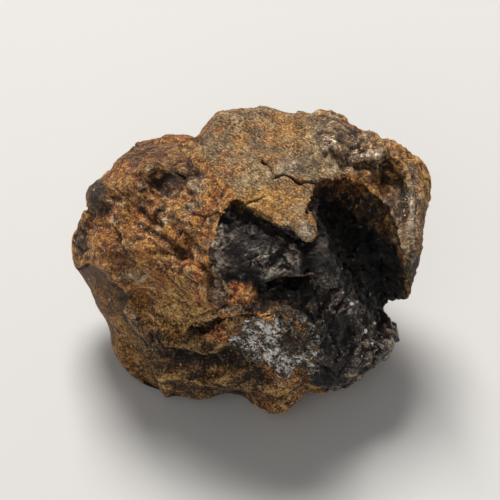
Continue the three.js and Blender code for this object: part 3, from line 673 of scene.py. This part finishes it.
# The wall is darker in its hollows, a painted shade, and ochre on its lumps, partly a painted light.
dark = np.maximum(dark, wall * smooth_step(0.05, -0.35, rise))
ochre = np.maximum(ochre, wall * smooth_step(0.25, 0.7, rise))
flecked = front * smooth_step(-1.5, -7.0, at.up)
dark = np.maximum(dark, behind * 0.7 * smooth_step(0.0, 0.5, -slow))
grey = np.maximum(grey, behind * 0.6 * smooth_step(0.0, 0.5, noise_at(at, 3.4, 23.0, 2)))
rust = np.maximum(rust, behind * 0.5 * smooth_step(0.1, 0.5, noise_at(at, 3.0, 17.0, 2)))

# The black of the broken face starts inside its edge on the right, where the block's wall is still brown.
BLACK_FACE = [
    (-1.7, 2.9), (-1.2, 3.4), (-0.4, 3.0), (0.4, 2.7), (1.2, 2.2), (2.9, 1.7), (3.7, 1.0), (4.3, 0.6),
    (5.1, 1.1), (4.9, 2.2), (4.4, 2.9), (5.1, 4.4), (5.2, 4.8), (6.0, 4.7), (6.8, 3.4), (7.8, 2.4),
    (8.8, 2.4), (9.6, 1.2), (10.9, 0.2), (11.6, -1.6), (11.7, -3.9), (12.6, -4.6), (11.4, -7.5),
    (9.4, -10.2), (6.2, -10.9), (4.6, -10.0), (4.8, -8.4), (4.9, -7.0), (4.4, -5.8), (3.2, -4.7),
    (2.0, -4.0), (0.8, -3.5), (0.2, -2.5), (-0.6, -2.6), (-1.4, -3.0), (-1.8, -2.4), (-2.3, -2.0),
    (-2.6, -1.2), (-2.6, -0.4), (-2.6, 0.6), (-2.4, 1.8),
]
black_face = region(BLACK_FACE, 0.3, 1.0)

# A shadow is painted under the edge of the left face, widest at its upper end.
shadow_reach = 0.5 + 0.9 * smooth_step(-5.5, -2.5, at.up)
under_face *= 1 - smooth_step(0.2, 1.0, from_face / shadow_reach)
# Painted shade, nearly black: in the hollow, the gap under the bench, the channel beside it, the wall's dark
# band, the lobe's underside and folds, the ledge and the left face's top; the knob is made near-black too.
black_and_painted_shade = patches(
    (-11.5, 4.3, 0.7, 1.1, 0.9), (-8.2, 7.5, 3.0, 1.4, 0.35), (-5.6, 5.6, 1.6, 1.4, 0.3),
    (-4.4, -7.9, 2.4, 0.8, 0.8), (5.4, -0.6, 0.8, 2.2, 0.35), (-9.0, -3.7, 1.0, 0.25, 0.4),
    (8.6, 0.4, 2.6, 1.6, 1.3), (9.8, -1.6, 2.0, 1.6, 1.3), (7.0, 1.6, 1.2, 1.6, 1.0),
    (6.4, -0.4, 0.9, 1.8, 0.8), (7.8, -2.2, 1.6, 1.2, 0.7), (2.6, -3.1, 1.8, 0.4, 0.9),
    (6.0, -9.7, 1.6, 0.7, 0.9), (6.4, -7.2, 0.8, 1.6, 0.4), (7.6, -6.5, 0.5, 0.5, 0.6),
)
black_and_painted_shade = np.maximum(black_and_painted_shade, 0.62 * under_face)

regions = {
    "slab": np.maximum(slab, 0.6 * back_combed), "black_face": black_face, "silver": silver, "wall": wall,
    "side": side, "open_sky": open_sky, "proud": proud, "raised": raised, "ochre": ochre, "rust": rust,
    "dark": dark, "grey": grey, "pale": pale, "wear_and_sheen": wear_and_sheen, "bare_and_lit": bare_and_lit, "white": white, "polish": polish,
    "black_and_painted_shade": black_and_painted_shade, "flecked": flecked, "painted_light_and_shade": painted_light_and_shade, "painted_highlight": painted_highlight,
}
for name, values in regions.items():
    layer = stone.data.attributes.new(name, "FLOAT", "POINT")
    layer.data.foreach_set("value", values)

# The stone's material
# Rust in grains of many browns over dark iron oxide, with a few light metal specks painted as glints, and
# with light and shade painted in on facets, edges, rims and hollows. Every colour is mottled at the size of
# the grains, and the same grains make its roughness and its bumps.
rusted_iron = bpy.data.materials.new("rusted_iron")
rusted_iron.use_nodes = True
shader_nodes = rusted_iron.node_tree
shader_nodes.nodes.clear()


def add(kind, inputs=None, **settings):
    """Adds a shader node. An input is a value or another node's output."""
    made = shader_nodes.nodes.new("ShaderNode" + kind)
    for name, value in settings.items():
        setattr(made, name, value)
    for name, value in (inputs or {}).items():
        if isinstance(value, bpy.types.NodeSocket):
            shader_nodes.links.new(value, made.inputs[name])
        else:
            made.inputs[name].default_value = value
    return made


def shown(red, green, blue):
    """A colour given as it shows on a screen, 0 to 255."""
    levels = [c / 255 for c in (red, green, blue)]
    return [((c + 0.055) / 1.055) ** 2.4 if c > 10 / 255 else c / 12.92 for c in levels] + [1]


def maths(operation, a, b=0.0, c=0.0, clamp=False):
    return add("Math", {0: a, 1: b, 2: c}, operation=operation, use_clamp=clamp).outputs[0]


def blend(share, a, b, how="MIX"):
    made = add("Mix", {0: share, 6: a, 7: b}, data_type="RGBA", blend_type=how)
    return made.outputs[2]


def step(value, low, high):
    inputs = {"Value": value, "From Min": low, "From Max": high}
    return add("MapRange", inputs, interpolation_type="SMOOTHSTEP").outputs[0]


def layer_of(name):
    return add("Attribute", attribute_name=name).outputs["Fac"]


def facets(size, where):
    """Flat broken facets of a size in millimetres: how high each place is, a painted light and shade for each
    facet that follows its tilt, and the cracks between them."""
    inputs = {"Vector": where, "Scale": 1 / size, "Randomness": 1.0}
    cells = add("TexVoronoi", inputs, feature="F1")
    to_edge = add("TexVoronoi", inputs, feature="DISTANCE_TO_EDGE").outputs["Distance"]
    off_middle = add("VectorMath", {0: where, 1: cells.outputs["Position"]}, operation="SUBTRACT").outputs[0]
    tilt = add("VectorMath", {0: cells.outputs["Color"], 1: (0.5, 0.5, 0.5)}, operation="SUBTRACT").outputs[0]
    height = add("VectorMath", {0: off_middle, 1: tilt}, operation="DOT_PRODUCT").outputs["Value"]
    shade = add("SeparateColor", {0: cells.outputs["Color"]}).outputs[0]
    return height, shade, maths("SUBTRACT", 1.0, step(to_edge, 0.0, 0.07))


metres = add("TexCoord").outputs["Object"]
millimetres = add("VectorMath", {0: metres, "Scale": 1000.0}, operation="SCALE").outputs[0]


def grain(size, detail=4.0, rough=0.6, twist=0.0, where=None):
    """Noise with lumps of a size in millimetres."""
    inputs = {
        "Vector": where or millimetres, "Scale": 1 / size, "Detail": detail, "Roughness": rough,
        "Distortion": twist,
    }
    return add("TexNoise", inputs).outputs["Fac"]


def colours(value, *stops):
    """A ramp of colours along a value."""
    made = add("ValToRGB", {0: value})
    ramp = made.color_ramp
    for place, colour in stops[1:-1]:
        ramp.elements.new(place)
    for element, (place, colour) in zip(ramp.elements, stops):
        element.position = place
        element.color = colour
    return made.outputs[0]


def broken_up(name, amount=0.9, size=0.5):
    """A region's share with its edge broken up by noise."""
    frayed = maths("MULTIPLY_ADD", maths("SUBTRACT", grain(size, 5, 0.7), 0.5), amount * 2, layer_of(name))
    return step(frayed, 0.35, 0.65)


# The facets and the grain of the broken iron are twice as long from the upper left to the lower right as
# the eye sees them, and a slow swirl bends their edges.
swirl = add("TexNoise", {"Vector": millimetres, "Scale": 2.5, "Detail": 3.0}).outputs["Color"]
swirl = add("VectorMath", {0: swirl, "Scale": 0.35}, operation="SCALE").outputs[0]
shaken = add("VectorMath", {0: millimetres, 1: swirl}, operation="ADD").outputs[0]
shaken = add("Mapping", {"Vector": shaken, "Rotation": (-LOOK_DOWN, 0, 0)}).outputs[0]
shaken = add("Mapping", {"Vector": shaken, "Rotation": (0, 0, math.radians(30))}).outputs[0]
shaken = add("Mapping", {"Vector": shaken, "Scale": (0.5, 1.0, 1.0)}).outputs[0]
split = grain(0.17, 5, 0.75, 0.6, shaken)
plane_height, plane_shade, plane_crack = facets(0.9, shaken)
chip_height, chip_shade, _ = facets(0.34, shaken)
flake_height, flake_shade, _ = facets(0.2, shaken)

# Along the slab the grains lie in lines, from the upper left to the lower right as the eye sees them.
line_up = add("Mapping", {"Vector": millimetres, "Rotation": (-LOOK_DOWN, 0, 0)}).outputs[0]
line_up = add("Mapping", {"Vector": line_up, "Rotation": (0, 0, math.radians(45))}).outputs[0]
line_up = add("Mapping", {"Vector": line_up, "Scale": (0.25, 1.0, 1.0)}).outputs[0]
combed = grain(0.11, 4, 0.65, 0.3, line_up)
coarse = grain(1.1, 6, 0.65, 0.3)
medium = grain(0.40, 5, 0.65, 0.5)
fine = grain(0.15, 3, 0.7, 0.3)
specks = add("TexVoronoi", {"Vector": millimetres, "Scale": 6.5, "Randomness": 1.0}, feature="F1")
speck = add("SeparateColor", {0: specks.outputs["Color"]})

tone = maths("MULTIPLY_ADD", fine, 0.46, maths("MULTIPLY_ADD", medium, 0.23, maths("MULTIPLY", coarse, 0.31)))
tone = maths("MULTIPLY_ADD", maths("SUBTRACT", speck.outputs[0], 0.5), 0.07, tone)
spread = maths("MULTIPLY_ADD", layer_of("flecked"), 0.65, 1.0)
tone = maths("MULTIPLY_ADD", maths("SUBTRACT", tone, 0.5), spread, 0.5)
iron_tone = maths("MULTIPLY_ADD", maths("SUBTRACT", tone, 0.5), 0.65, 0.485)
iron_tone = maths("MULTIPLY_ADD", maths("SUBTRACT", split, 0.5), 0.45, iron_tone)
# Edges that stand out are painted lighter and hollows darker: painted light and shade.
iron_tone = maths("MULTIPLY_ADD", maths("SUBTRACT", layer_of("proud"), 0.5), 0.16, iron_tone)
# Bare iron, and painted light on lit facets, are lighter.
iron_tone = maths("MULTIPLY_ADD", layer_of("bare_and_lit"), 0.09, iron_tone)
# The same painted light and shade, over a wider reach.
iron_tone = maths("MULTIPLY_ADD", maths("SUBTRACT", layer_of("raised"), 0.5), 0.09, iron_tone)
# Each facet is painted lighter or darker by its tilt: painted light and shade.
iron_tone = maths("MULTIPLY_ADD", maths("SUBTRACT", plane_shade, 0.5), 0.08, iron_tone)
iron_tone = maths("MULTIPLY_ADD", maths("SUBTRACT", chip_shade, 0.5), 0.06, iron_tone)
iron_tone = maths("MULTIPLY_ADD", plane_crack, -0.06, iron_tone)
iron_spread = maths("MULTIPLY_ADD", layer_of("flecked"), 0.25, 1.0)
iron_tone = maths("MULTIPLY_ADD", maths("SUBTRACT", iron_tone, 0.5), iron_spread, 0.5)
# Painted light on the rust's edges that stand out, and painted shade in its hollows.
tone = maths("MULTIPLY_ADD", maths("SUBTRACT", layer_of("proud"), 0.5), 0.12, tone)
# Painted light and shade laid on the rust's tone.
tone = maths("MULTIPLY_ADD", layer_of("painted_light_and_shade"), 0.03, tone)
brown = colours(
    tone,
    (0.38, shown(34, 18, 6)), (0.45, shown(98, 57, 19)), (0.52, shown(154, 97, 36)),
    (0.58, shown(198, 140, 63)), (0.66, shown(238, 194, 118)),
)
grey_brown = colours(
    tone,
    (0.40, shown(38, 29, 22)), (0.47, shown(86, 70, 54)), (0.53, shown(128, 108, 86)),
    (0.58, shown(166, 146, 118)), (0.65, shown(214, 200, 176)),
)
slab_tone = maths("MULTIPLY", maths("ADD", combed, maths("ADD", combed, maths("ADD", fine, coarse))), 1 / 4)
slab_tone = maths("ADD", slab_tone, maths("MULTIPLY", maths("SUBTRACT", speck.outputs[0], 0.5), 0.06))
# The same painted light and shade on the slab.
slab_tone = maths("MULTIPLY_ADD", layer_of("painted_light_and_shade"), 0.03, slab_tone)
slab_colour = colours(
    slab_tone,
    (0.40, shown(58, 40, 24)), (0.47, shown(114, 88, 58)), (0.52, shown(154, 126, 88)),
    (0.57, shown(188, 160, 118)), (0.64, shown(230, 210, 174)),
)
black_iron = colours(
    iron_tone,
    (0.37, shown(8, 8, 9)), (0.48, shown(27, 26, 26)), (0.56, shown(54, 52, 48)),
    (0.64, shown(106, 101, 90)), (0.74, shown(194, 186, 168)),
)
purple_iron = colours(
    iron_tone,
    (0.37, shown(12, 9, 9)), (0.48, shown(38, 31, 30)), (0.56, shown(68, 57, 54)),
    (0.64, shown(116, 101, 92)), (0.74, shown(200, 184, 166)),
)
crystal_lumps = maths("MULTIPLY", grain(0.9, 4, 0.6, 0.5), 0.4)
crystal_tone = maths("MULTIPLY_ADD", grain(0.14, 3, 0.7, 0.3), 0.8, crystal_lumps)
# Each flake is painted lighter or darker by its tilt: painted light and shade among the flecks.
crystal_tone = maths("MULTIPLY_ADD", maths("SUBTRACT", flake_shade, 0.5), 0.36, crystal_tone)
crystal_tone = maths("MULTIPLY_ADD", layer_of("white"), 0.22, crystal_tone)
crystal = colours(
    crystal_tone,
    (0.44, shown(16, 14, 12)), (0.58, shown(50, 43, 33)), (0.67, shown(120, 110, 95)),
    (0.75, shown(206, 202, 196)), (0.86, shown(254, 255, 254)),
)
cream = colours(tone, (0.40, shown(96, 70, 42)), (0.50, shown(176, 148, 108)), (0.60, shown(238, 222, 190)))
ochre_colour = colours(
    tone,
    (0.39, shown(54, 32, 10)), (0.46, shown(122, 82, 32)), (0.52, shown(176, 126, 58)),
    (0.58, shown(214, 168, 92)), (0.65, shown(240, 208, 142)),
)
rust_colour = colours(
    tone,
    (0.39, shown(56, 22, 10)), (0.46, shown(118, 56, 24)), (0.52, shown(176, 96, 40)),
    (0.58, shown(218, 138, 66)), (0.65, shown(242, 188, 118)),
)
dark_colour = colours(
    tone,
    (0.40, shown(8, 6, 4)), (0.49, shown(34, 23, 13)), (0.56, shown(84, 60, 34)),
    (0.64, shown(150, 116, 74)),
)
slab_warm = colours(
    slab_tone,
    (0.40, shown(54, 33, 14)), (0.47, shown(116, 78, 40)), (0.52, shown(160, 114, 64)),
    (0.57, shown(196, 148, 90)), (0.64, shown(236, 202, 148)),
)
wear_and_sheen_colour = colours(
    tone,
    (0.39, shown(64, 48, 34)), (0.46, shown(108, 88, 68)), (0.53, shown(148, 128, 104)),
    (0.60, shown(186, 168, 144)), (0.68, shown(232, 222, 206)),
)
slab_colour = blend(step(grain(2.6, 5, 0.65, 0.6), 0.44, 0.58), slab_colour, slab_warm)
colour = blend(maths("MULTIPLY", step(grain(1.6, 5, 0.7, 0.5), 0.44, 0.60), 0.5), brown, grey_brown)
shifted = add("VectorMath", {0: millimetres, 1: (31.0, 7.0, 19.0)}, operation="ADD").outputs[0]
rust_share = maths("MULTIPLY", step(grain(1.2, 5, 0.7, 0.5, shifted), 0.48, 0.62), 0.5)
colour = blend(rust_share, colour, rust_colour)
shifted = add("VectorMath", {0: millimetres, 1: (5.0, 43.0, 11.0)}, operation="ADD").outputs[0]
ochre_share = maths("MULTIPLY", step(grain(1.5, 5, 0.7, 0.5, shifted), 0.48, 0.62), 0.5)
colour = blend(ochre_share, colour, ochre_colour)
colour = blend(broken_up("slab", 0.8, 1.6), colour, slab_colour)
side_share = broken_up("side", 0.3, 1.0)
# The side under the left face takes the ochre, and a painted shade darkens it.
colour = blend(maths("MULTIPLY", side_share, 0.8), colour, ochre_colour)
colour = blend(maths("MULTIPLY", side_share, 0.6), colour, shown(176, 150, 118), "MULTIPLY")
colour = blend(maths("MULTIPLY", broken_up("grey", 0.9, 0.9), 0.75), colour, grey_brown)
# Worn grey-tan, and painted sheen.
colour = blend(maths("MULTIPLY", broken_up("wear_and_sheen", 0.8, 0.6), 0.8), colour, wear_and_sheen_colour)
# The lower wall is darker: its own dark rust, and a painted shade where it faces down.
colour = blend(maths("MULTIPLY", broken_up("wall", 0.9, 1.2), 0.7), colour, dark_colour)
iron = blend(step(grain(3.0, 4, 0.6, 0.4), 0.40, 0.54), black_iron, purple_iron)
broken_share = broken_up("black_face", 0.75, 0.4)
colour = blend(broken_share, colour, iron)
colour = blend(maths("MULTIPLY", broken_up("ochre", 1.0, 0.9), 0.75), colour, ochre_colour)
colour = blend(maths("MULTIPLY", broken_up("rust", 1.0, 0.6), 0.85), colour, rust_colour)
silver_share = maths("MULTIPLY", broken_up("silver", 1.5, 1.0), 0.9)
colour = blend(silver_share, colour, crystal)
# Dark rust, and painted shade in places.
colour = blend(maths("MULTIPLY", broken_up("dark", 1.4, 0.7), 0.85), colour, dark_colour)
# Cream flecks, and painted highlights on lit rims.
colour = blend(maths("MULTIPLY", broken_up("pale", 1.0, 0.25), 0.85), colour, cream)
# Crevices that see little of the sky are darkened: a painted shade on top of the lamps' own.
shade = step(layer_of("open_sky"), 0.02, 0.55)
colour = blend(maths("SUBTRACT", 1.0, shade), colour, shown(22, 17, 14), "MULTIPLY")
# Painted shade, and the knob's near-black, multiply the colour nearly to black.
colour = blend(maths("MULTIPLY", layer_of("black_and_painted_shade"), 0.9, clamp=True), colour, shown(8, 7, 8), "MULTIPLY")

# A few light metal specks, painted as glints and kept out of the shaded crevices.
glint = maths("MULTIPLY", maths("GREATER_THAN", speck.outputs[2], 0.985), step(fine, 0.50, 0.58))
glint = maths("MULTIPLY", glint, shade)
colour = blend(glint, colour, shown(210, 200, 188))
# Painted highlights, nearly white.
colour = blend(step(layer_of("painted_highlight"), 0.35, 0.65), colour, shown(246, 242, 236))
polish_share = broken_up("polish", 0.8, 0.4)
gloss = maths("MULTIPLY_ADD", medium, 0.5, 0.45)
gloss = maths("SUBTRACT", gloss, maths("MULTIPLY", polish_share, 0.55), clamp=True)
gloss = maths("MAXIMUM", gloss, 0.14)
facet_gloss = maths("MULTIPLY", broken_share, maths("MULTIPLY", chip_shade, 0.5))
gloss = maths("SUBTRACT", gloss, facet_gloss, clamp=True)
gloss = maths("SUBTRACT", gloss, maths("MULTIPLY", glint, 0.35), clamp=True)
relief = maths("MULTIPLY_ADD", medium, 0.13, maths("MULTIPLY", combed, 0.10))
relief = maths("MULTIPLY_ADD", fine, 0.28, relief)
broken_relief = maths("MULTIPLY_ADD", chip_height, 1.0, maths("MULTIPLY", split, 0.20))
broken_relief = maths("MULTIPLY_ADD", plane_height, 1.4, broken_relief)
broken_relief = maths("MULTIPLY_ADD", plane_crack, -0.08, broken_relief)
silver_relief = maths("MULTIPLY_ADD", flake_height, 1.6, maths("MULTIPLY", chip_height, 0.8))
relief = add("Mix", {0: broken_share, 2: relief, 3: broken_relief}).outputs[0]
relief = add("Mix", {0: silver_share, 2: relief, 3: silver_relief}).outputs[0]
polished_relief = maths("MULTIPLY_ADD", grain(0.42, 1.5, 0.5), 0.34, maths("MULTIPLY", fine, 0.05))
relief = add("Mix", {0: polish_share, 2: relief, 3: polished_relief}).outputs[0]
bump = add("Bump", {"Height": relief, "Strength": 1.0, "Distance": 0.001})
shader = add("BsdfPrincipled", {
    "Base Color": colour,
    "Roughness": gloss,
    "Metallic": maths("MULTIPLY_ADD", polish_share, 0.2, maths("MULTIPLY", glint, 0.7)),
    "Specular IOR Level": 0.5,
    "Normal": bump.outputs[0],
})
add("OutputMaterial", {"Surface": shader.outputs[0]})

stone.data.materials.append(rusted_iron)
bpy.ops.object.shade_smooth()
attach(stone, "root")
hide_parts("meteorite")
